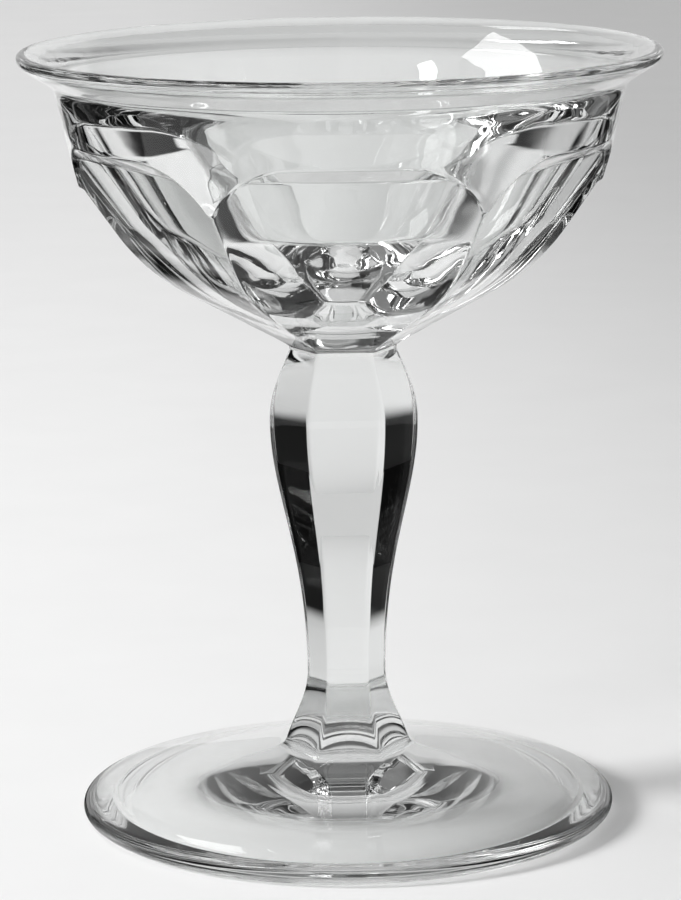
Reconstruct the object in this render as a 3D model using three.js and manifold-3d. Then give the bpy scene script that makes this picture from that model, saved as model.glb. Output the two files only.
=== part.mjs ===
// A pressed glass sherbet: a flared bowl with six recessed panels, a six-sided baluster stem and a
// round foot. Millimetres, +Z up. It stands on z = 0 with its axis on Z, and one panel faces -Y.

import * as THREE from "three";
import { mergeVertices } from "three/addons/utils/BufferGeometryUtils.js";
import Module from "manifold-3d";

// Panels round the bowl, which line up with the stem's facets
const PANELS = 6;

// Foot: a gently domed disc with a rounded edge, on a flat ring, hollowed under the dome
const FOOT_RADIUS = 39.6;
const FOOT_EDGE_RADIUS = 1.5;
const FOOT_EDGE_RISE = 1.7;
const REST_RING_OUTER_RADIUS = 36.8;
const REST_RING_INNER_RADIUS = 34;
const UNDERSIDE_HOLLOW = 4.6;
const UNDERSIDE_HOLLOW_RADIUS = 12;
const UNDERSIDE_SOFTNESS = 6;

// Seat of the stem on the foot
const SEAT_RADIUS = 19;
const SEAT_HEIGHT = 7.5;

// Stem: half its width across the flats at each level, and how far each swell or waist carries
const STEM_HEIGHT = 62.6;
const NECK_FLAT = 6.9;
const NECK_SPREAD = 1.2;
const NECK_SPREAD_DROP = 3.6;
const SWELL_FLAT = 9.55;
const SWELL_BELOW_NECK = 10.6;
const SWELL_UPPER_REACH = 4.5;
const SWELL_LOWER_REACH = 11.4;
const WAIST_FLAT = 5.15;
const WAIST_ABOVE_SEAT = 14;
const WAIST_UPPER_REACH = 18.9;
const WAIST_LOWER_REACH = 9;
const SEAT_SPREAD = 9.5;
const STEM_ARRIS_RADIUS = 0.8;

// Share of the flare, from the seat up, over which the round turns into facets
const FACET_FADE = 0.6;

// Bowl heights, above the neck
const BOWL_HEIGHT = 44.2;
const COLLAR_HEIGHT = 1.2;
const SHOULDER_HEIGHT = 11.75;
const PANEL_TOP_HEIGHT = 29.4;
const LEDGE_RISE = 2;
const CUSP_HEIGHT = 24.4;
const WALL_TOP_HEIGHT = 37.1;
const HOLLOW_FLOOR_HEIGHT = 9.6;
const HOLLOW_TURN_HEIGHT = 21.5;
const HOLLOW_WALL_TOP_HEIGHT = 36.7;

// Bowl panels: half their width across opposite flats, and the soft turns between their slopes
const SHOULDER_FLAT = 25;
const SHOULDER_SOFTNESS = 6.4;
const COLLAR_SOFTNESS = 0.6;
const PANEL_TOP_FLAT = 35.7;
const PANEL_TOP_SOFTNESS = 0.7;
const ARCH_CORNER_RADIUS = 12;
const ARCH_HALF_WIDTH = 18.9;

// Bowl wall: radii of the round band over the panels, of the flared lip and of the hollow
const CUSP_RADIUS = 38.1;
const BAND_RADIUS = 39.7;
const WALL_TOP_RADIUS = 41;
const WALL_TOP_REACH = 2.4;
const RIM_RADIUS = 46.75;
const LIP_RADIUS = 0.9;
const LIP_SLOPE = 38;
const LIP_REACH = 4.4;
const HOLLOW_WALL_TOP_RADIUS = 38.1;
const HOLLOW_FLARE_REACH = 3.6;
const HOLLOW_TURN_RADIUS = 27.3;
const HOLLOW_TURN_REACH = 4.3;
const HOLLOW_FLOOR_REACH = 11.9;

// Facets of the round and lofted surfaces
const ROUND_SIDES = 72;
const COLUMNS_PER_PANEL = 8;
const CURVE_STEPS = 8;
const STEM_STEPS = 10;

// Room that a cutting shape keeps beyond what it cuts
const CUT_MARGIN = 5;

const HALF_PANEL = Math.PI / PANELS;
const neckHeight = SEAT_HEIGHT + STEM_HEIGHT;
const rimHeight = neckHeight + BOWL_HEIGHT;
const wasm = await Module();
wasm.setup();

// Glass

function clearGlass() {
  return new THREE.MeshStandardMaterial({
    color: 0xe9eeec,
    roughness: 0.05,
    metalness: 0,
    transparent: true,
    opacity: 0.35,
  });
}

function piece(name, geometry) {
  const mesh = new THREE.Mesh(geometry, clearGlass());
  mesh.name = name;
  return mesh;
}

// Turned and lofted shapes

// Revolves a path of radius and height about Z
function turned(path) {
  const geometry = new THREE.LatheGeometry(path.getPoints(CURVE_STEPS), ROUND_SIDES);
  return geometry.rotateX(Math.PI / 2);
}

// Draws a line towards a corner, and a soft turn round it towards the next point
function softTurn(path, corner, next, softness) {
  const before = corner.clone().sub(path.currentPoint).setLength(softness);
  const after = next.clone().sub(corner).setLength(softness);
  const start = corner.clone().sub(before);
  const end = corner.clone().add(after);
  path.lineTo(start.x, start.y);
  path.quadraticCurveTo(corner.x, corner.y, end.x, end.y);
}

// Distance from the axis to a facet with soft arrises, at an angle from the facet's middle
function facetRadius(flat, arris, angle) {
  const inset = flat - arris;
  const flatEnd = Math.atan2(inset * Math.tan(HALF_PANEL), flat);
  if (Math.abs(angle) <= flatEnd) return flat / Math.cos(angle);
  const centre = inset / Math.cos(HALF_PANEL);
  const off = HALF_PANEL - Math.abs(angle);
  return centre * Math.cos(off) + Math.sqrt(arris ** 2 - (centre * Math.sin(off)) ** 2);
}

// A ring of points round the axis, from a polygon at roundness 0 to a circle at roundness 1
function facetedRing(flat, height, roundness) {
  const ring = [];
  for (let panel = 0; panel < PANELS; panel++) {
    for (let column = 0; column < COLUMNS_PER_PANEL; column++) {
      const off = (2 * column / COLUMNS_PER_PANEL - 1) * HALF_PANEL;
      const angle = 2 * panel * HALF_PANEL - Math.PI / 2 + off;
      const radius = THREE.MathUtils.lerp(facetRadius(flat, STEM_ARRIS_RADIUS, off), flat, roundness);
      ring.push(new THREE.Vector3(radius * Math.cos(angle), radius * Math.sin(angle), height));
    }
  }
  return ring;
}

// Skins a stack of rings, lowest first, and closes both ends with flat faces
function lofted(rings) {
  const sides = rings[0].length;
  const last = rings.length - 1;
  const points = rings.flat();
  points.push(new THREE.Vector3(0, 0, rings[0][0].z), new THREE.Vector3(0, 0, rings[last][0].z));
  const lowCentre = points.length - 2;
  const highCentre = points.length - 1;
  const index = [];
  for (let side = 0; side < sides; side++) {
    const next = (side + 1) % sides;
    for (let level = 0; level < last; level++) {
      const low = level * sides;
      const high = low + sides;
      index.push(low + side, low + next, high + next, low + side, high + next, high + side);
    }
    index.push(lowCentre, next, side);
    index.push(highCentre, last * sides + side, last * sides + next);
  }
  const geometry = new THREE.BufferGeometry().setFromPoints(points);
  geometry.setIndex(index);
  geometry.computeVertexNormals();
  return geometry;
}

// Solids to join and cut

function toSolid(geometry) {
  const bare = geometry.clone();
  bare.deleteAttribute("normal");
  bare.deleteAttribute("uv");
  const merged = mergeVertices(bare);
  const corners = merged.index.array;
  const triangles = [];
  for (let i = 0; i < corners.length; i += 3) {
    const [a, b, c] = corners.subarray(i, i + 3);
    if (a !== b && b !== c && c !== a) triangles.push(a, b, c);
  }
  const mesh = new wasm.Mesh({
    numProp: 3,
    vertProperties: new Float32Array(merged.attributes.position.array),
    triVerts: new Uint32Array(triangles),
  });
  return new wasm.Manifold(mesh);
}

function toGeometry(solid) {
  const mesh = solid.getMesh();
  const geometry = new THREE.BufferGeometry();
  geometry.setAttribute("position", new THREE.BufferAttribute(mesh.vertProperties, 3));
  geometry.setIndex(new THREE.BufferAttribute(mesh.triVerts, 1));
  geometry.computeVertexNormals();
  return geometry;
}

// Foot

function footGeometry() {
  const edgeCentre = FOOT_RADIUS - FOOT_EDGE_RADIUS;
  const edgeTop = FOOT_EDGE_RISE + FOOT_EDGE_RADIUS;
  const ceiling = new THREE.Vector2(UNDERSIDE_HOLLOW_RADIUS, UNDERSIDE_HOLLOW);
  const restRing = new THREE.Vector2(REST_RING_INNER_RADIUS, 0);
  const path = new THREE.Path();
  path.moveTo(0, UNDERSIDE_HOLLOW);
  softTurn(path, ceiling, restRing, UNDERSIDE_SOFTNESS);
  path.lineTo(restRing.x, restRing.y);
  path.lineTo(REST_RING_OUTER_RADIUS, 0);
  path.quadraticCurveTo(FOOT_RADIUS, 0, FOOT_RADIUS, FOOT_EDGE_RISE);
  path.quadraticCurveTo(FOOT_RADIUS, edgeTop, edgeCentre, edgeTop);
  path.lineTo(SEAT_RADIUS, SEAT_HEIGHT);
  path.lineTo(0, SEAT_HEIGHT);
  return turned(path);
}

// Stem

function stemGeometry() {
  const domeSlope = (SEAT_HEIGHT - FOOT_EDGE_RISE - FOOT_EDGE_RADIUS) /
    (FOOT_RADIUS - FOOT_EDGE_RADIUS - SEAT_RADIUS);
  const waistHeight = SEAT_HEIGHT + WAIST_ABOVE_SEAT;
  const swellHeight = neckHeight - SWELL_BELOW_NECK;
  const flare = new THREE.CubicBezierCurve(
    new THREE.Vector2(SEAT_RADIUS, SEAT_HEIGHT),
    new THREE.Vector2(SEAT_RADIUS - SEAT_SPREAD, SEAT_HEIGHT + SEAT_SPREAD * domeSlope),
    new THREE.Vector2(WAIST_FLAT, waistHeight - WAIST_LOWER_REACH),
    new THREE.Vector2(WAIST_FLAT, waistHeight),
  );
  const shaft = new THREE.CubicBezierCurve(
    new THREE.Vector2(WAIST_FLAT, waistHeight),
    new THREE.Vector2(WAIST_FLAT, waistHeight + WAIST_UPPER_REACH),
    new THREE.Vector2(SWELL_FLAT, swellHeight - SWELL_LOWER_REACH),
    new THREE.Vector2(SWELL_FLAT, swellHeight),
  );
  const shoulder = new THREE.CubicBezierCurve(
    new THREE.Vector2(SWELL_FLAT, swellHeight),
    new THREE.Vector2(SWELL_FLAT, swellHeight + SWELL_UPPER_REACH),
    new THREE.Vector2(NECK_FLAT + NECK_SPREAD, neckHeight - NECK_SPREAD_DROP),
    new THREE.Vector2(NECK_FLAT, neckHeight),
  );
  const flareRings = flare.getPoints(STEM_STEPS).map((at, step) =>
    facetedRing(at.x, at.y, 1 - THREE.MathUtils.smoothstep(step / STEM_STEPS, 0, FACET_FADE)));
  const shaftPoints = [...shaft.getPoints(STEM_STEPS), ...shoulder.getPoints(STEM_STEPS).slice(1)];
  const shaftRings = shaftPoints.slice(1).map((at) => facetedRing(at.x, at.y, 0));
  return lofted([...flareRings, ...shaftRings]);
}

// Bowl

// The round body of the bowl, hollow, with its lip, before its panels are cut
function bowlBlank() {
  const slope = THREE.MathUtils.degToRad(LIP_SLOPE);
  const lipCentre = new THREE.Vector2(RIM_RADIUS - LIP_RADIUS, rimHeight - LIP_RADIUS);
  const along = new THREE.Vector2(Math.cos(slope), Math.sin(slope));
  const outward = new THREE.Vector2(Math.sin(slope), -Math.cos(slope));
  const lipStart = lipCentre.clone().addScaledVector(outward, LIP_RADIUS);
  const lipEnd = lipCentre.clone().addScaledVector(outward, -LIP_RADIUS);
  const bandHeight = neckHeight + PANEL_TOP_HEIGHT + LEDGE_RISE;
  const wallTop = new THREE.Vector2(WALL_TOP_RADIUS, neckHeight + WALL_TOP_HEIGHT);
  const wallRise = wallTop.clone().sub(new THREE.Vector2(BAND_RADIUS, bandHeight)).setLength(WALL_TOP_REACH);
  const hollowTop = new THREE.Vector2(HOLLOW_WALL_TOP_RADIUS, neckHeight + HOLLOW_WALL_TOP_HEIGHT);
  const hollowTurn = new THREE.Vector2(HOLLOW_TURN_RADIUS, neckHeight + HOLLOW_TURN_HEIGHT);
  const hollowWall = hollowTop.clone().sub(hollowTurn).normalize();
  const hollowFloor = neckHeight + HOLLOW_FLOOR_HEIGHT;
  const path = new THREE.Path();
  path.moveTo(0, neckHeight);
  path.lineTo(CUSP_RADIUS, neckHeight);
  path.lineTo(CUSP_RADIUS, neckHeight + CUSP_HEIGHT);
  path.lineTo(BAND_RADIUS, bandHeight);
  path.lineTo(wallTop.x, wallTop.y);
  path.bezierCurveTo(
    wallTop.x + wallRise.x, wallTop.y + wallRise.y,
    lipStart.x - along.x * LIP_REACH, lipStart.y - along.y * LIP_REACH,
    lipStart.x, lipStart.y,
  );
  path.absarc(lipCentre.x, lipCentre.y, LIP_RADIUS, slope - Math.PI / 2, slope + Math.PI / 2);
  path.bezierCurveTo(
    lipEnd.x - along.x * LIP_REACH, lipEnd.y - along.y * LIP_REACH,
    hollowTop.x + hollowWall.x * HOLLOW_FLARE_REACH, hollowTop.y + hollowWall.y * HOLLOW_FLARE_REACH,
    hollowTop.x, hollowTop.y,
  );
  path.lineTo(hollowTurn.x, hollowTurn.y);
  path.bezierCurveTo(
    hollowTurn.x - hollowWall.x * HOLLOW_TURN_REACH, hollowTurn.y - hollowWall.y * HOLLOW_TURN_REACH,
    HOLLOW_FLOOR_REACH, hollowFloor,
    0, hollowFloor,
  );
  return toSolid(turned(path));
}

// One panel's cutter: all that lies outside its face, under the ledge and inside the arch
function panelCutter() {
  const reach = RIM_RADIUS + CUT_MARGIN;
  const below = neckHeight - CUT_MARGIN;
  const ledgeSlope = LEDGE_RISE / (BAND_RADIUS - PANEL_TOP_FLAT);
  const collar = new THREE.Vector2(NECK_FLAT, neckHeight + COLLAR_HEIGHT);
  const shoulder = new THREE.Vector2(SHOULDER_FLAT, neckHeight + SHOULDER_HEIGHT);
  const panelTop = new THREE.Vector2(PANEL_TOP_FLAT, neckHeight + PANEL_TOP_HEIGHT);
  const ledgeEnd = new THREE.Vector2(reach, panelTop.y + (reach - panelTop.x) * ledgeSlope);
  const face = new THREE.Shape();
  face.moveTo(NECK_FLAT, below);
  softTurn(face, collar, shoulder, COLLAR_SOFTNESS);
  softTurn(face, shoulder, panelTop, SHOULDER_SOFTNESS);
  softTurn(face, panelTop, ledgeEnd, PANEL_TOP_SOFTNESS);
  face.lineTo(ledgeEnd.x, ledgeEnd.y);
  face.lineTo(reach, below);
  const sweep = new THREE.ExtrudeGeometry(face, {
    depth: 2 * reach, bevelEnabled: false, curveSegments: CURVE_STEPS,
  });
  sweep.translate(0, 0, -reach);
  sweep.rotateX(Math.PI / 2);

  const cuspHeight = neckHeight + CUSP_HEIGHT;
  const archTop = panelTop.y + LEDGE_RISE + PANEL_TOP_SOFTNESS;
  const archCentreHeight = archTop - ARCH_CORNER_RADIUS;
  const cuspAngle = Math.asin((cuspHeight - archCentreHeight) / ARCH_CORNER_RADIUS);
  const archCentre = ARCH_HALF_WIDTH - ARCH_CORNER_RADIUS * Math.cos(cuspAngle);
  const arch = new THREE.Shape();
  arch.moveTo(-reach, below);
  arch.lineTo(reach, below);
  arch.lineTo(reach, cuspHeight);
  arch.absarc(archCentre, archCentreHeight, ARCH_CORNER_RADIUS, cuspAngle, Math.PI / 2);
  arch.absarc(-archCentre, archCentreHeight, ARCH_CORNER_RADIUS, Math.PI / 2, Math.PI - cuspAngle);
  arch.lineTo(-reach, cuspHeight);
  const outline = new THREE.ExtrudeGeometry(arch, {
    depth: reach, bevelEnabled: false, curveSegments: CURVE_STEPS,
  });
  outline.rotateX(Math.PI / 2);
  outline.rotateZ(Math.PI / 2);
  return toSolid(sweep).intersect(toSolid(outline));
}

function bowlGeometry() {
  const cutter = panelCutter();
  const degreesPerPanel = 360 / PANELS;
  let bowl = bowlBlank();
  for (let panel = 0; panel < PANELS; panel++) {
    bowl = bowl.subtract(cutter.rotate([0, 0, panel * degreesPerPanel - 90]));
  }
  return toGeometry(bowl);
}

// Assembly, from the table up

const sherbetGlass = new THREE.Group();
sherbetGlass.name = "sherbet_glass";
sherbetGlass.add(piece("foot", footGeometry()));
sherbetGlass.add(piece("stem", stemGeometry()));
sherbetGlass.add(piece("bowl", bowlGeometry()));

export default sherbetGlass;
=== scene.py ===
"""The looks of a pressed glass sherbet: bowl, stem and foot of clear glass on a pale table."""

import bisect
import math

import bmesh
import bpy
from mathutils import Matrix, Vector
from mathutils.geometry import interpolate_bezier


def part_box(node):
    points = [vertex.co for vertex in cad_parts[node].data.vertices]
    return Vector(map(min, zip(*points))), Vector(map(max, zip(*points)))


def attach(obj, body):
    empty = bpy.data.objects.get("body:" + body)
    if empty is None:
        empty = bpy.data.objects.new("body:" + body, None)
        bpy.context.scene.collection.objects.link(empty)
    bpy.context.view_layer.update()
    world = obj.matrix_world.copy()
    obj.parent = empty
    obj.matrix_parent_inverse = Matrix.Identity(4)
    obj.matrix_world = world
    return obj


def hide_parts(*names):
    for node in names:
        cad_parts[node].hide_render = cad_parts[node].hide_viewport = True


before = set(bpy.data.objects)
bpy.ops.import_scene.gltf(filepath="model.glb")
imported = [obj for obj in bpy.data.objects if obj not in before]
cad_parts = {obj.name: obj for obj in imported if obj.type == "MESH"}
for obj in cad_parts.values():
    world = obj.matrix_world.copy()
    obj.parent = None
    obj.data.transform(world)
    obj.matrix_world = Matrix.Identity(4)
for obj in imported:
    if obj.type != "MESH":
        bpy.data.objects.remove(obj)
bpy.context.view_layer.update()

# Sizes from the frame, in metres
MM = 0.001
_, foot_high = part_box("foot")
_, stem_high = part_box("stem")
_, bowl_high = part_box("bowl")
FOOT_RADIUS = foot_high.x
SEAT_RADIUS = stem_high.x
RIM_RADIUS = bowl_high.x
SEAT = foot_high.z
NECK = stem_high.z
RIM = bowl_high.z

# Panels, and the columns of each shell
PANELS = 6
HALF_PANEL = math.pi / PANELS
COLUMNS_PER_PANEL = 40
COLUMNS = PANELS * COLUMNS_PER_PANEL

# Foot
FOOT_EDGE_RADIUS = 1.5 * MM
FOOT_EDGE_RISE = 1.7 * MM
FOOT_EDGE_ROUNDNESS = 0.55
FOOT_EDGE_LEAN = 0.12
REST_RING_OUTER_RADIUS = 36.8 * MM
REST_RING_INNER_RADIUS = 34.0 * MM
UNDERSIDE_TURN_IN = 28.0 * MM
UNDERSIDE_CEILING = 4.0 * MM

# Stem: half its width across the flats, and how far each swell or waist carries
NECK_FLAT = 6.9 * MM
NECK_SPREAD = 1.2 * MM
NECK_SPREAD_DROP = 3.6 * MM
SWELL_FLAT = 9.55 * MM
SWELL = NECK - 10.6 * MM
SWELL_UPPER_REACH = 4.5 * MM
SWELL_LOWER_REACH = 11.4 * MM
WAIST_FLAT = 5.15 * MM
WAIST = SEAT + 14.0 * MM
WAIST_UPPER_REACH = 18.9 * MM
WAIST_LOWER_REACH = 4.0 * MM
KNEE_FLAT = 8.2 * MM
KNEE = SEAT + 3.9 * MM
KNEE_SLOPE = 0.4
KNEE_UPPER_REACH = 3.5 * MM
KNEE_LOWER_REACH = 2.0 * MM
SEAT_SPREAD = 8.0 * MM
STEM_ARRIS = 0.8 * MM
FACET_FADE = 0.8

# Bowl panels
COLLAR = NECK + 0.6 * MM
SHOULDER = NECK + 11.75 * MM
PANEL_TOP = NECK + 29.4 * MM
SHOULDER_FLAT = 25.0 * MM
PANEL_TOP_FLAT = 35.7 * MM
COLLAR_SOFTNESS = 0.25 * MM
SHOULDER_SOFTNESS = 6.4 * MM
BOWL_ARRIS = 0.6 * MM
ARCH_TOP = NECK + 31.4 * MM
ARCH_CORNER_RADIUS = 13.0 * MM
ARCH_CORNER_CENTRE = 8.0 * MM
LEDGE_STEEPNESS = 0.5
EDGE_SOFTNESS = 0.4 * MM
EDGE_SOFTNESS_SHARE = 0.45
PANEL_OVERRUN = 0.3
WALL_OVERRUN = 0.5

# Bowl wall, lip and hollow
CUSP = NECK + 24.4 * MM
CUSP_RADIUS = 38.1 * MM
BAND_RADIUS = 39.7 * MM
WALL_TOP = NECK + 38.2 * MM
WALL_TOP_RADIUS = 41.25 * MM
WALL_TOP_REACH = 2.0 * MM
LIP_RADIUS = 0.9 * MM
LIP_SLOPE = math.radians(38.0)
LIP_REACH = 3.8 * MM
HOLLOW_WALL_TOP = NECK + 36.7 * MM
HOLLOW_WALL_TOP_RADIUS = 38.1 * MM
HOLLOW_LIP_REACH = 4.4 * MM
HOLLOW_FLARE_REACH = 3.6 * MM
HOLLOW_TURN = NECK + 21.5 * MM
HOLLOW_TURN_RADIUS = 27.3 * MM
HOLLOW_TURN_REACH = 4.3 * MM
HOLLOW_FLOOR = NECK + 9.6 * MM
HOLLOW_FLOOR_REACH = 11.9 * MM

# Camera, as the photograph was taken
CAMERA_DISTANCE = 563.7 * MM
CAMERA_HEIGHT = 172.2 * MM
CAMERA_PITCH = math.radians(11.76)
CAMERA_ROLL = math.radians(-0.66)
CAMERA_TURN = math.radians(-1.7)
CAMERA_YAW = math.radians(0.055)
CAMERA_LENS = 156.1
CAMERA_SENSOR = 36.0
CAMERA_SIGHT = 50.0

# Table
TABLE_GAP = 0.05 * MM
TABLE_REACH = 1.8

# Backdrop, wall and room
BACKDROP_EDGE = math.radians(34.0)
BACKDROP_SOFTNESS = math.radians(3.0)
BACKDROP_LOW = math.sin(math.radians(28.0))
BACKDROP_HIGH = math.sin(math.radians(50.0))
BACKDROP_FOOT_SHADE = 0.68
BACKDROP_TOP_SHADE = 0.14
DARK_ROOM_SHADE = 0.003
WALL_START = math.radians(72.0)
WALL_END = math.radians(95.0)
WALL_SHADE = 0.2
ROOM_GLOW = 0.12
ROOM_SEEN = 0.76
ROOM_COLOUR = (1.0, 1.0, 1.0, 1.0)

# Pale sheet; painted dark reflections past its edges and on a patch either side behind it
SHEET_EDGE = 67 * MM
SHEET_SOFTNESS = 15 * MM
SHEET_SPREAD = 0.95
SHEET_MIRRORED_TRIM = 55 * MM
SHEET_CENTRE = 9 * MM
SHEET_FRONT = -9 * MM
SHEET_FRONT_SOFTNESS = 5 * MM
# Where the painted dark patch either side behind the sheet begins and ends
DARK_PATCH_START = 0.45
DARK_PATCH_END = 0.95
DARK_PATCH_SOFTNESS = 15 * MM

# Surfaces of glass that light has crossed: none, and more than one wall has
NO_CROSSING = 0.5
TWO_WALLS = 3.5

# Painted shade: the table darkens towards its right and its far end, standing in for the lamps' light
# falling off
FAR_SIDE_START = -80 * MM
FAR_SIDE_END = 160 * MM
PAINTED_RIGHT_SHADE = 0.25
FAR_END = 800 * MM
PAINTED_BACK_SHADE = 0.16

# Lamps
DAYLIGHT = 4.6
DAYLIGHT_SPREAD = math.radians(18.0)
DAYLIGHT_HEIGHT = math.radians(28.0)
DAYLIGHT_TURN = math.radians(12.0)
WINDOW_AIM = (0, 0, 0.1)
WINDOW_PLACE = (-1.24, 0.48, 1.66)
WINDOW_SIZE = (0.78, 0.86)
WINDOW_POWER = 12.5
SIDE_PANE_PLACE = (-1.04, -0.52, 1.74)
SIDE_PANE_SIZE = (0.2, 0.6)
SIDE_PANE_POWER = 3.6

# Light inside the solid glass turns many times before it leaves
GLASS_BOUNCES = 13

# Glass finish
GLASS_IOR = 1.52
GLASS_TINT = (0.88, 0.89, 0.885, 1.0)
GLASS_PALE_TINT = (0.92, 0.93, 0.925, 1.0)
TINT_SPOT = 30 * MM
SCUFF_SIZE = 0.6 * MM
WORN_ROUGHNESS = 0.12
SHADOW_PALE = (0.8, 0.8, 0.8, 1.0)
SHADOW_THICK = (0.55, 0.55, 0.55, 1.0)
SHADOW_DARK = (0.05, 0.05, 0.05, 1.0)
GRAZE_START = 0.35
GRAZE_END = 0.95
SCUFF_START = 0.35
SCUFF_END = 0.7
TINT_DETAIL = 2.0
SCUFF_DETAIL = 4.0
RIPPLE_DETAIL = 1.0
BOWL_RIPPLE = 7 * MM
BOWL_RIPPLE_HEIGHT = 0.055 * MM
STEM_RIPPLE = 14 * MM
STEM_RIPPLE_HEIGHT = 0.012 * MM
FOOT_RIPPLE = 9 * MM
FOOT_RIPPLE_HEIGHT = 0.014 * MM
RIM_WEAR = 0.8 * MM
REST_WEAR = 0.4 * MM

# Paper on the table
PAPER_ROUGHNESS = 0.8
PAPER_SHEEN = 0.2
PAPER_SPOT = 25 * MM
PAPER_DETAIL = 4.0
PAPER_DULL = (0.84, 0.84, 0.84, 1.0)
PAPER_PALE = (0.88, 0.88, 0.88, 1.0)
# Painted dark reflection: the black that the glass finds on the table beside and behind the sheet
PAINTED_DARK_REFLECTION = (0.002, 0.002, 0.002, 1.0)
BLACK = (0.0, 0.0, 0.0, 1.0)


# Outlines, as points of radius and height

def point(radius, height):
    return Vector((radius, height))


def curve(start, start_handle, end_handle, end, steps):
    """Points along a curve, without its first one."""
    return [p.to_2d() for p in interpolate_bezier(start, start_handle, end_handle, end, steps + 1)[1:]]


def line(start, end, steps):
    """Points along a straight line, without its first one."""
    return [start.lerp(end, step / steps) for step in range(1, steps + 1)]


def soft_turn(start, corner, end, softness, steps):
    """Points round a softened corner between two lines."""
    before = corner + (start - corner).normalized() * softness
    after = corner + (end - corner).normalized() * softness
    shares = [step / steps for step in range(steps + 1)]
    return [before.lerp(corner, s).lerp(corner.lerp(after, s), s) for s in shares]


def arc(centre, radius, first, last, steps):
    """Points along an arc, without its first one."""
    angles = [first + (last - first) * step / steps for step in range(1, steps + 1)]
    return [centre + point(math.cos(a), math.sin(a)) * radius for a in angles]


def radius_at(outline, height):
    """The radius of a rising outline at a height."""
    heights = [p.y for p in outline]
    after = min(max(bisect.bisect(heights, height), 1), len(outline) - 1)
    low, high = outline[after - 1], outline[after]
    share = (height - low.y) / max(high.y - low.y, 1e-9)
    return low.x + (high.x - low.x) * min(max(share, 0.0), 1.0)


def facet_radius(flat, arris, angle):
    """Distance from the axis to a facet with soft arrises, at an angle from the facet's middle."""
    inset = flat - arris
    flat_end = math.atan2(inset * math.tan(HALF_PANEL), flat)
    if abs(angle) <= flat_end:
        return flat / math.cos(angle)
    centre = inset / math.cos(HALF_PANEL)
    off = HALF_PANEL - abs(angle)
    return centre * math.cos(off) + math.sqrt(arris ** 2 - (centre * math.sin(off)) ** 2)


def smooth_step(value):
    share = min(max(value, 0.0), 1.0)
    return share * share * (3 - 2 * share)


# Shells

def column_angle(column):
    """Where a column stands round the axis, and its angle from its panel's middle.
    Columns stand closer at the arrises."""
    panel, place = divmod(column, COLUMNS_PER_PANEL)
    across = 2 * place / COLUMNS_PER_PANEL - 1
    off = math.copysign(HALF_PANEL * (1 - (1 - abs(across)) ** 2), across)
    return 2 * panel * HALF_PANEL - math.pi / 2 + off, off


def shell(name, outline_at, joints):
    """A closed shell: a tube is spun, then its rings are moved to the outline at each angle.
    joints are the rows whose faces meet another piece of the same fused glass."""
    rows = len(outline_at(0.0))
    bm = bmesh.new()
    chain = [bm.verts.new((1.0, 0.0, float(row))) for row in range(rows)]
    links = [bm.edges.new(pair) for pair in zip(chain, chain[1:])]
    bmesh.ops.spin(
        bm, geom=chain + links, cent=(0, 0, 0), axis=(0, 0, 1), dvec=(0, 0, 0),
        angle=2 * math.pi, steps=COLUMNS, use_merge=True, use_duplicate=False,
    )
    places = [column_angle(column) for column in range(COLUMNS)]
    outlines = [outline_at(off) for _, off in places]
    row_of = {vert: round(vert.co.z) for vert in bm.verts}
    for vert, row in row_of.items():
        column = round(math.atan2(vert.co.y, vert.co.x) * COLUMNS / (2 * math.pi)) % COLUMNS
        radius, height = outlines[column][row]
        angle = places[column][0]
        vert.co = (radius * math.cos(angle), radius * math.sin(angle), height)
    for face in bm.faces:
        face.smooth = True
        face.material_index = int(min(row_of[vert] for vert in face.verts) in joints)
    bmesh.ops.remove_doubles(bm, verts=bm.verts, dist=MM * 1e-4)
    bmesh.ops.recalc_face_normals(bm, faces=bm.faces)
    for edge in bm.edges:
        edge.smooth = len({face.material_index for face in edge.link_faces}) == 1
    mesh = bpy.data.meshes.new(name)
    bm.to_mesh(mesh)
    bm.free()
    piece = bpy.data.objects.new(name, mesh)
    bpy.context.scene.collection.objects.link(piece)
    return piece


# Foot

def foot_outline(_):
    edge_top = FOOT_EDGE_RISE + FOOT_EDGE_RADIUS
    seat = point(SEAT_RADIUS, SEAT)
    edge = point(FOOT_RADIUS - FOOT_EDGE_RADIUS, edge_top)
    outer = point(FOOT_RADIUS, FOOT_EDGE_RISE)
    ring = point(REST_RING_OUTER_RADIUS, 0)
    inner = point(REST_RING_INNER_RADIUS, 0)
    dome = point(UNDERSIDE_TURN_IN, UNDERSIDE_CEILING)
    middle = point(0, UNDERSIDE_CEILING)
    points = [point(0, SEAT), seat]
    points += line(seat, edge, steps=24)
    over = point(FOOT_EDGE_RADIUS * FOOT_EDGE_ROUNDNESS, -FOOT_EDGE_RADIUS * FOOT_EDGE_LEAN)
    points += curve(
        edge, edge + over, outer + point(0, FOOT_EDGE_RADIUS * FOOT_EDGE_ROUNDNESS), outer, steps=10)
    points += curve(
        outer, outer - point(0, FOOT_EDGE_RISE * FOOT_EDGE_ROUNDNESS),
        ring + point((FOOT_RADIUS - ring.x) * FOOT_EDGE_ROUNDNESS, 0), ring, steps=10)
    points += line(ring, inner, steps=4)
    points += curve(inner, inner.lerp(dome, 2 / 3), middle.lerp(dome, 2 / 3), middle, steps=28)
    return points


# Stem

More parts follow.
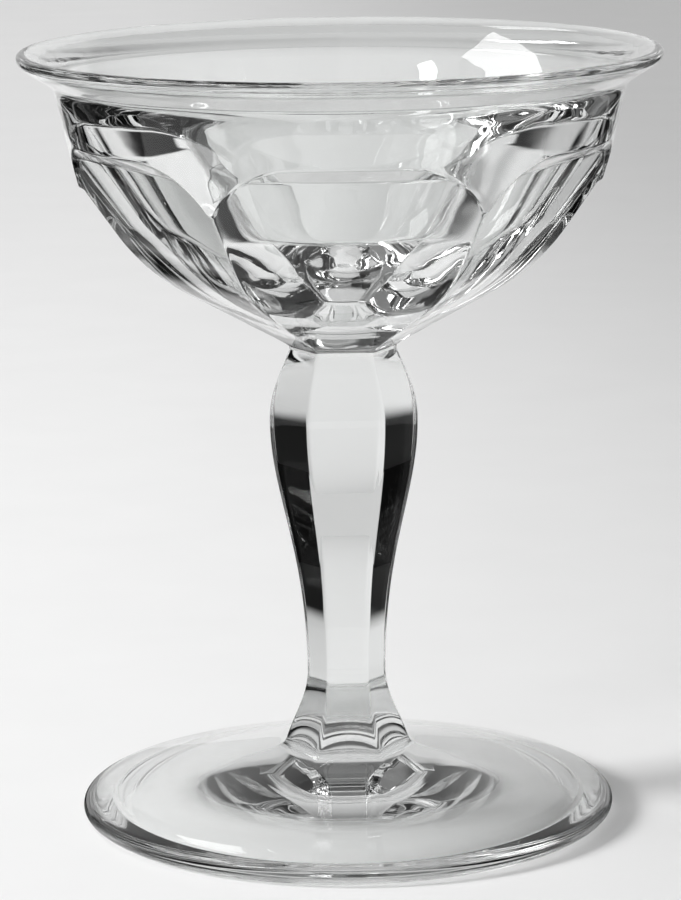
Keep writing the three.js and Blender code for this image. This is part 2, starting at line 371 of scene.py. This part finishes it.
def stem_curves():
    dome_slope = (SEAT - FOOT_EDGE_RISE - FOOT_EDGE_RADIUS) / (FOOT_RADIUS - FOOT_EDGE_RADIUS - SEAT_RADIUS)
    seat = point(SEAT_RADIUS, SEAT)
    waist = point(WAIST_FLAT, WAIST)
    swell = point(SWELL_FLAT, SWELL)
    neck = point(NECK_FLAT, NECK)
    knee = point(KNEE_FLAT, KNEE)
    lean = point(KNEE_SLOPE, -1)
    flare = [seat] + curve(
        seat, seat + point(-1, dome_slope) * SEAT_SPREAD, knee + lean * KNEE_LOWER_REACH, knee, steps=24)
    flare += curve(
        knee, knee - lean * KNEE_UPPER_REACH, waist - point(0, WAIST_LOWER_REACH), waist, steps=24)
    shaft = curve(
        waist, waist + point(0, WAIST_UPPER_REACH), swell - point(0, SWELL_LOWER_REACH), swell, steps=40)
    shoulder = curve(
        swell, swell + point(0, SWELL_UPPER_REACH),
        neck + point(NECK_SPREAD, -NECK_SPREAD_DROP), neck, steps=24)
    return flare, shaft + shoulder


STEM_FLARE, STEM_SHAFT = stem_curves()


def stem_outline(off):
    points = [point(0, SEAT)]
    for step, at in enumerate(STEM_FLARE):
        share = smooth_step(step / (len(STEM_FLARE) - 1) / FACET_FADE)
        facet = facet_radius(at.x, STEM_ARRIS, off)
        points.append(point(at.x + (facet - at.x) * share, at.y))
    points += [point(facet_radius(at.x, STEM_ARRIS, off), at.y) for at in STEM_SHAFT]
    points.append(point(0, NECK))
    return points


# Bowl

def panel_face():
    """Half the bowl's width across its flats, from the neck to the top of a panel."""
    neck = point(NECK_FLAT, NECK)
    collar = point(NECK_FLAT, COLLAR)
    shoulder = point(SHOULDER_FLAT, SHOULDER)
    top = point(PANEL_TOP_FLAT, PANEL_TOP)
    beyond = top + (top - shoulder) * PANEL_OVERRUN
    points = [neck] + soft_turn(neck, collar, shoulder, COLLAR_SOFTNESS, steps=8)
    turn = soft_turn(collar, shoulder, top, SHOULDER_SOFTNESS, steps=16)
    points += line(points[-1], turn[0], steps=8) + turn[1:]
    points += line(points[-1], beyond, steps=16)
    return points


def wall_face():
    """The round wall from the cusps between the arches to the lip's outer turn."""
    cusp = point(CUSP_RADIUS, CUSP)
    band = point(BAND_RADIUS, ARCH_TOP)
    top = point(WALL_TOP_RADIUS, WALL_TOP)
    below = cusp + (cusp - band) * WALL_OVERRUN
    return [below] + line(below, cusp, steps=2) + line(cusp, band, steps=8) + line(band, top, steps=8)


PANEL_FACE = panel_face()
WALL_FACE = wall_face()


def arch_height(off):
    """Height of the arch's edge on the wall, at an angle from the panel's middle."""
    aside = abs(BAND_RADIUS * math.sin(off)) - ARCH_CORNER_CENTRE
    drop = ARCH_CORNER_RADIUS - math.sqrt(ARCH_CORNER_RADIUS ** 2 - max(aside, 0.0) ** 2)
    return max(ARCH_TOP - drop, CUSP)


def lip_and_hollow():
    """From the wall's top round the lip and down the hollow to its floor."""
    along = point(math.cos(LIP_SLOPE), math.sin(LIP_SLOPE))
    outward = point(along.y, -along.x)
    centre = point(RIM_RADIUS - LIP_RADIUS, RIM - LIP_RADIUS)
    wall = WALL_FACE[-1]
    rise = (wall - point(BAND_RADIUS, ARCH_TOP)).normalized() * WALL_TOP_REACH
    lip_start = centre + outward * LIP_RADIUS
    lip_end = centre - outward * LIP_RADIUS
    top = point(HOLLOW_WALL_TOP_RADIUS, HOLLOW_WALL_TOP)
    turn = point(HOLLOW_TURN_RADIUS, HOLLOW_TURN)
    up_wall = (top - turn).normalized()
    floor = point(0, HOLLOW_FLOOR)
    points = curve(wall, wall + rise, lip_start - along * LIP_REACH, lip_start, steps=16)
    points += arc(centre, LIP_RADIUS, LIP_SLOPE - math.pi / 2, LIP_SLOPE + math.pi / 2, steps=14)
    points += curve(
        lip_end, lip_end - along * HOLLOW_LIP_REACH, top + up_wall * HOLLOW_FLARE_REACH, top, steps=18)
    points += line(top, turn, steps=20)
    points += curve(
        turn, turn - up_wall * HOLLOW_TURN_REACH, floor + point(HOLLOW_FLOOR_REACH, 0), floor, steps=28)
    return points


LIP_AND_HOLLOW = lip_and_hollow()
WALL_ROWS = 12


def bowl_outline(off):
    edge_height = arch_height(off)
    edge = point(radius_at(WALL_FACE, edge_height), edge_height)
    panel_edge = radius_at(PANEL_FACE, edge_height)
    depth = edge.x - facet_radius(panel_edge, BOWL_ARRIS, off)
    foot_height = min(PANEL_TOP, edge_height - LEDGE_STEEPNESS * depth)
    foot = point(facet_radius(radius_at(PANEL_FACE, foot_height), BOWL_ARRIS, off), foot_height)
    softness = min(EDGE_SOFTNESS, EDGE_SOFTNESS_SHARE * (edge - foot).length)

    squeeze = (foot_height - softness - NECK) / (PANEL_FACE[-1].y - NECK)
    heights = [NECK + (at.y - NECK) * squeeze for at in PANEL_FACE]
    panel = [point(facet_radius(radius_at(PANEL_FACE, h), BOWL_ARRIS, off), h) for h in heights]
    wall_start = edge_height + softness
    wall_end = WALL_FACE[-1].y
    rises = [wall_start + (wall_end - wall_start) * step / WALL_ROWS for step in range(WALL_ROWS + 1)]
    wall = [point(radius_at(WALL_FACE, h), h) for h in rises]

    points = [point(0, NECK)] + panel
    points += soft_turn(panel[-1], foot, edge, softness, steps=6)[1:]
    points += soft_turn(foot, edge, wall[0], softness, steps=6)
    points += wall[1:]
    points += LIP_AND_HOLLOW
    return points


# Finishes

def noise(nodes, links, place, scale, detail):
    """Soft, even mottling at a number of spots to the metre."""
    texture = nodes.new("ShaderNodeTexNoise")
    texture.inputs["Scale"].default_value = scale
    texture.inputs["Detail"].default_value = detail
    links.new(place, texture.inputs["Vector"])
    return texture.outputs["Fac"]


def between(nodes, links, value, start, end, low, high):
    """Carries a value smoothly from low to high as it goes from start to end."""
    ramp = nodes.new("ShaderNodeMapRange")
    ramp.interpolation_type = "SMOOTHSTEP"
    links.new(value, ramp.inputs["Value"])
    for name, number in (("From Min", start), ("From Max", end), ("To Min", low), ("To Max", high)):
        if isinstance(number, float):
            ramp.inputs[name].default_value = number
        else:
            links.new(number, ramp.inputs[name])
    return ramp.outputs["Result"]


def math_node(nodes, links, operation, first, second):
    node = nodes.new("ShaderNodeMath")
    node.operation = operation
    for socket, value in zip(node.inputs, (first, second)):
        if isinstance(value, float):
            socket.default_value = value
        else:
            links.new(value, socket)
    return node.outputs["Value"]


def blend(nodes, links, factor, first, second, kind):
    """A mix of two colours or two numbers, each a value or the end of another node."""
    mix = nodes.new("ShaderNodeMix")
    mix.data_type = kind
    links.new(factor, mix.inputs["Factor"])
    for name, value in (("A", first), ("B", second)):
        if isinstance(value, (float, tuple)):
            mix.inputs[name].default_value = value
        else:
            links.new(value, mix.inputs[name])
    return mix.outputs["Result"]


def clear_glass(name, ripple_size, ripple_height, worn_from, worn_to, shadow):
    """Clear pressed glass with faint ripples from the mould, duller where it is worn.
    The wear starts at the height worn_from and is full at worn_to, and shadow is the
    colour of the light that falls straight through a surface."""
    material = bpy.data.materials.new(name)
    material.use_nodes = True
    nodes = material.node_tree.nodes
    links = material.node_tree.links
    shader = nodes["Principled BSDF"]
    shader.inputs["Transmission Weight"].default_value = 1.0
    shader.inputs["IOR"].default_value = GLASS_IOR
    place = nodes.new("ShaderNodeTexCoord").outputs["Object"]
    split = nodes.new("ShaderNodeSeparateXYZ")
    links.new(place, split.inputs["Vector"])

    spots = noise(nodes, links, place, 1 / TINT_SPOT, TINT_DETAIL)
    tint = blend(nodes, links, spots, GLASS_TINT, GLASS_PALE_TINT, "RGBA")
    links.new(tint, shader.inputs["Base Color"])

    scuffs = noise(nodes, links, place, 1 / SCUFF_SIZE, SCUFF_DETAIL)
    scuffed = between(nodes, links, scuffs, SCUFF_START, SCUFF_END, 0.0, WORN_ROUGHNESS)
    worn = between(nodes, links, split.outputs["Z"], worn_from, worn_to, 0.0, scuffed)
    links.new(worn, shader.inputs["Roughness"])

    ripples = nodes.new("ShaderNodeBump")
    ripples.inputs["Strength"].default_value = 1.0
    ripples.inputs["Distance"].default_value = ripple_height
    links.new(noise(nodes, links, place, 1 / ripple_size, RIPPLE_DETAIL), ripples.inputs["Height"])
    links.new(ripples.outputs["Normal"], shader.inputs["Normal"])

    path = nodes.new("ShaderNodeLightPath")
    edge = nodes.new("ShaderNodeLayerWeight")
    edge.inputs["Blend"].default_value = 0.5
    grazed = between(nodes, links, edge.outputs["Facing"], GRAZE_START, GRAZE_END, 0.0, 1.0)
    lamp_light = nodes.new("ShaderNodeBsdfTransparent")
    links.new(blend(nodes, links, grazed, shadow, SHADOW_DARK, "RGBA"), lamp_light.inputs["Color"])
    mix = nodes.new("ShaderNodeMixShader")
    links.new(path.outputs["Is Shadow Ray"], mix.inputs["Fac"])
    links.new(shader.outputs["BSDF"], mix.inputs[1])
    links.new(lamp_light.outputs["BSDF"], mix.inputs[2])
    links.new(mix.outputs["Shader"], nodes["Material Output"].inputs["Surface"])
    return material


def joint(name):
    """The faces where two pieces are fused: the glass goes on, so nothing shows there."""
    material = bpy.data.materials.new(name)
    material.use_nodes = True
    nodes = material.node_tree.nodes
    nodes.remove(nodes["Principled BSDF"])
    clear = nodes.new("ShaderNodeBsdfTransparent")
    material.node_tree.links.new(clear.outputs["BSDF"], nodes["Material Output"].inputs["Surface"])
    return material


# Pieces

def dress(piece, node, material):
    piece.data.materials.append(material)
    piece.data.materials.append(FUSED_JOINT)
    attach(piece, "root")
    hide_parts(node)


FUSED_JOINT = joint("fused_joint")
BOWL_GLASS = clear_glass(
    "bowl_glass", BOWL_RIPPLE, BOWL_RIPPLE_HEIGHT, RIM - RIM_WEAR, RIM, SHADOW_PALE)
STEM_GLASS = clear_glass(
    "stem_glass", STEM_RIPPLE, STEM_RIPPLE_HEIGHT, NECK, NECK + MM, SHADOW_THICK)
FOOT_GLASS = clear_glass(
    "foot_glass", FOOT_RIPPLE, FOOT_RIPPLE_HEIGHT, REST_WEAR, 0.0, SHADOW_PALE)
foot_piece = shell("glass_foot", foot_outline, joints={0})
stem_piece = shell("glass_stem", stem_outline, joints={0, len(stem_outline(0.0)) - 2})
bowl_piece = shell("glass_bowl", bowl_outline, joints={0})
dress(foot_piece, "foot", FOOT_GLASS)
dress(stem_piece, "stem", STEM_GLASS)
dress(bowl_piece, "bowl", BOWL_GLASS)


# Table, light and camera

def past_slant(nodes, links, across, back, slant):
    """How far a place lies past a line that slants outwards towards the back."""
    return math_node(nodes, links, "SUBTRACT", across, math_node(nodes, links, "MULTIPLY", back, slant))


def painted_dark_reflections(nodes, links, split, path):
    """Where light through one wall of glass, or mirrored by it, finds the table painted dark, as painted
    dark reflections: past the pale sheet's slanting edges, and on a patch either side behind it."""
    x, y = split.outputs["X"], split.outputs["Y"]
    depth = path.outputs["Transmission Depth"]
    off_centre = math_node(nodes, links, "SUBTRACT", x, SHEET_CENTRE)
    across = math_node(nodes, links, "ABSOLUTE", off_centre, 0.0)
    mirrored = math_node(nodes, links, "LESS_THAN", depth, NO_CROSSING)
    trim = math_node(nodes, links, "MULTIPLY", mirrored, SHEET_MIRRORED_TRIM)
    reach = math_node(nodes, links, "ADD", across, trim)
    edge_start = SHEET_EDGE - SHEET_SOFTNESS
    edge_end = SHEET_EDGE + SHEET_SOFTNESS
    past_sheet = past_slant(nodes, links, reach, y, SHEET_SPREAD)
    past_patch_start = past_slant(nodes, links, reach, y, DARK_PATCH_START)
    past_patch_end = past_slant(nodes, links, across, y, DARK_PATCH_END)
    off_sheet = between(nodes, links, past_sheet, edge_start, edge_end, 0.0, 1.0)
    patch_start = between(nodes, links, past_patch_start, edge_start, edge_end, 0.0, 1.0)
    patch_end = between(nodes, links, past_patch_end, -DARK_PATCH_SOFTNESS, DARK_PATCH_SOFTNESS, 1.0, 0.0)
    painted_patch = math_node(nodes, links, "MULTIPLY", patch_start, patch_end)
    beside = math_node(nodes, links, "MAXIMUM", off_sheet, painted_patch)
    front_start = SHEET_FRONT - SHEET_FRONT_SOFTNESS
    front_end = SHEET_FRONT + SHEET_FRONT_SOFTNESS
    behind = between(nodes, links, y, front_start, front_end, 0.0, 1.0)
    plain = math_node(
        nodes, links, "MAXIMUM", path.outputs["Is Camera Ray"], path.outputs["Is Diffuse Ray"])
    two_walls = math_node(nodes, links, "GREATER_THAN", depth, TWO_WALLS)
    pale = math_node(nodes, links, "MAXIMUM", plain, two_walls)
    shown = math_node(nodes, links, "SUBTRACT", 1.0, pale)
    return math_node(nodes, links, "MULTIPLY", math_node(nodes, links, "MULTIPLY", beside, behind), shown)


def pale_sheet():
    """The pale table, with painted shade for the lamps' light falling off: darker to the right and,
    seen straight by the camera, to the back.
    """
    material = bpy.data.materials.new("pale_sheet")
    material.use_nodes = True
    nodes = material.node_tree.nodes
    links = material.node_tree.links
    shader = nodes["Principled BSDF"]
    shader.inputs["Roughness"].default_value = PAPER_ROUGHNESS
    shader.inputs["Specular IOR Level"].default_value = PAPER_SHEEN
    place = nodes.new("ShaderNodeTexCoord").outputs["Object"]
    split = nodes.new("ShaderNodeSeparateXYZ")
    links.new(place, split.inputs["Vector"])
    path = nodes.new("ShaderNodeLightPath")
    dark = painted_dark_reflections(nodes, links, split, path)
    spots = noise(nodes, links, place, 1 / PAPER_SPOT, PAPER_DETAIL)
    paper = blend(nodes, links, spots, PAPER_DULL, PAPER_PALE, "RGBA")
    # Painted shade: the paper darkens to the right, and for the camera also to the back, where the lamps'
    # light falls off
    rightward_painted_shade = between(
        nodes, links, split.outputs["X"], FAR_SIDE_START, FAR_SIDE_END, 0.0, PAINTED_RIGHT_SHADE)
    backward_painted_shade = between(nodes, links, split.outputs["Y"], 0.0, FAR_END, 0.0, PAINTED_BACK_SHADE)
    seen_straight = math_node(nodes, links, "MULTIPLY", backward_painted_shade, path.outputs["Is Camera Ray"])
    painted_falloff = math_node(nodes, links, "ADD", rightward_painted_shade, seen_straight)
    shaded = blend(nodes, links, painted_falloff, paper, BLACK, "RGBA")
    # Painted dark reflections: the table turns black where light seen through or mirrored in the glass
    # meets it
    sheet = blend(nodes, links, dark, shaded, PAINTED_DARK_REFLECTION, "RGBA")
    links.new(sheet, shader.inputs["Base Color"])
    return material


def table():
    bm = bmesh.new()
    bmesh.ops.create_grid(bm, x_segments=4, y_segments=4, size=TABLE_REACH)
    mesh = bpy.data.meshes.new("table")
    bm.to_mesh(mesh)
    bm.free()
    top = bpy.data.objects.new("table", mesh)
    top.location.z = -TABLE_GAP
    bpy.context.scene.collection.objects.link(top)
    mesh.materials.append(pale_sheet())


def window(name, place, size, power):
    """A pale pane of soft light, aimed at the glass."""
    data = bpy.data.lights.new(name, "AREA")
    data.shape = "RECTANGLE"
    data.size, data.size_y = size
    data.energy = power
    lamp = bpy.data.objects.new(name, data)
    bpy.context.scene.collection.objects.link(lamp)
    lamp.location = place
    lamp.rotation_euler = (Vector(WINDOW_AIM) - Vector(place)).to_track_quat("-Z", "Y").to_euler()
    return lamp


def daylight():
    """Low, soft daylight from the left, which lays the foot's shadow on the table."""
    data = bpy.data.lights.new("daylight", "SUN")
    data.energy = DAYLIGHT
    data.angle = DAYLIGHT_SPREAD
    lamp = bpy.data.objects.new("daylight", data)
    bpy.context.scene.collection.objects.link(lamp)
    level = math.cos(DAYLIGHT_HEIGHT)
    travel = Vector((
        level * math.cos(DAYLIGHT_TURN), level * math.sin(DAYLIGHT_TURN), -math.sin(DAYLIGHT_HEIGHT)))
    lamp.rotation_euler = travel.to_track_quat("-Z", "Y").to_euler()
    lamp.visible_glossy = False
    lamp.visible_transmission = False


def studio_world():
    """What the glass sees is a dark room, with a pale backdrop low behind it and a pale wall at the
    window's side. The table is lit by a faint glow, and the camera sees a plain pale room."""
    world = bpy.data.worlds.new("studio")
    bpy.context.scene.world = world
    world.use_nodes = True
    nodes = world.node_tree.nodes
    links = world.node_tree.links
    place = nodes.new("ShaderNodeTexCoord")
    split = nodes.new("ShaderNodeSeparateXYZ")
    links.new(place.outputs["Generated"], split.inputs["Vector"])
    bearing = math_node(nodes, links, "ARCTAN2", split.outputs["X"], split.outputs["Y"])
    turn = math_node(nodes, links, "ABSOLUTE", bearing, 0.0)
    left = math_node(nodes, links, "LESS_THAN", split.outputs["X"], 0.0)
    wall = between(nodes, links, turn, WALL_START, WALL_END, 0.0, WALL_SHADE)
    sides = math_node(nodes, links, "ADD", math_node(nodes, links, "MULTIPLY", left, wall), DARK_ROOM_SHADE)
    backdrop = between(
        nodes, links, split.outputs["Z"],
        BACKDROP_LOW, BACKDROP_HIGH, BACKDROP_FOOT_SHADE, BACKDROP_TOP_SHADE)
    edge_start = BACKDROP_EDGE - BACKDROP_SOFTNESS
    edge_end = BACKDROP_EDGE + BACKDROP_SOFTNESS
    room = between(nodes, links, turn, edge_start, edge_end, backdrop, sides)
    path = nodes.new("ShaderNodeLightPath")
    glow = blend(nodes, links, path.outputs["Is Diffuse Ray"], room, ROOM_GLOW, "FLOAT")
    shade = blend(nodes, links, path.outputs["Is Camera Ray"], glow, ROOM_SEEN, "FLOAT")
    background = nodes["Background"]
    background.inputs["Color"].default_value = ROOM_COLOUR
    links.new(shade, background.inputs["Strength"])


def camera():
    data = bpy.data.cameras.new("camera")
    data.lens = CAMERA_LENS
    data.sensor_width = CAMERA_SENSOR
    data.clip_end = CAMERA_SIGHT
    eye = bpy.data.objects.new("camera", data)
    bpy.context.scene.collection.objects.link(eye)
    turn = Matrix.Rotation(CAMERA_TURN, 4, "Z")
    stand = Matrix.Translation((0, -CAMERA_DISTANCE, CAMERA_HEIGHT))
    yaw = Matrix.Rotation(CAMERA_YAW, 4, "Z")
    tilt = Matrix.Rotation(math.pi / 2 - CAMERA_PITCH, 4, "X")
    roll = Matrix.Rotation(CAMERA_ROLL, 4, "Z")
    eye.matrix_world = turn @ stand @ yaw @ tilt @ roll
    bpy.context.scene.camera = eye


table()
window("window", WINDOW_PLACE, WINDOW_SIZE, WINDOW_POWER)
side_pane = window("side_pane", SIDE_PANE_PLACE, SIDE_PANE_SIZE, SIDE_PANE_POWER)
side_pane.visible_transmission = False
daylight()
studio_world()
camera()
bpy.context.scene.view_settings.view_transform = "Standard"
bpy.context.scene.cycles.max_bounces = GLASS_BOUNCES
bpy.context.scene.cycles.glossy_bounces = GLASS_BOUNCES
bpy.context.scene.cycles.transmission_bounces = GLASS_BOUNCES
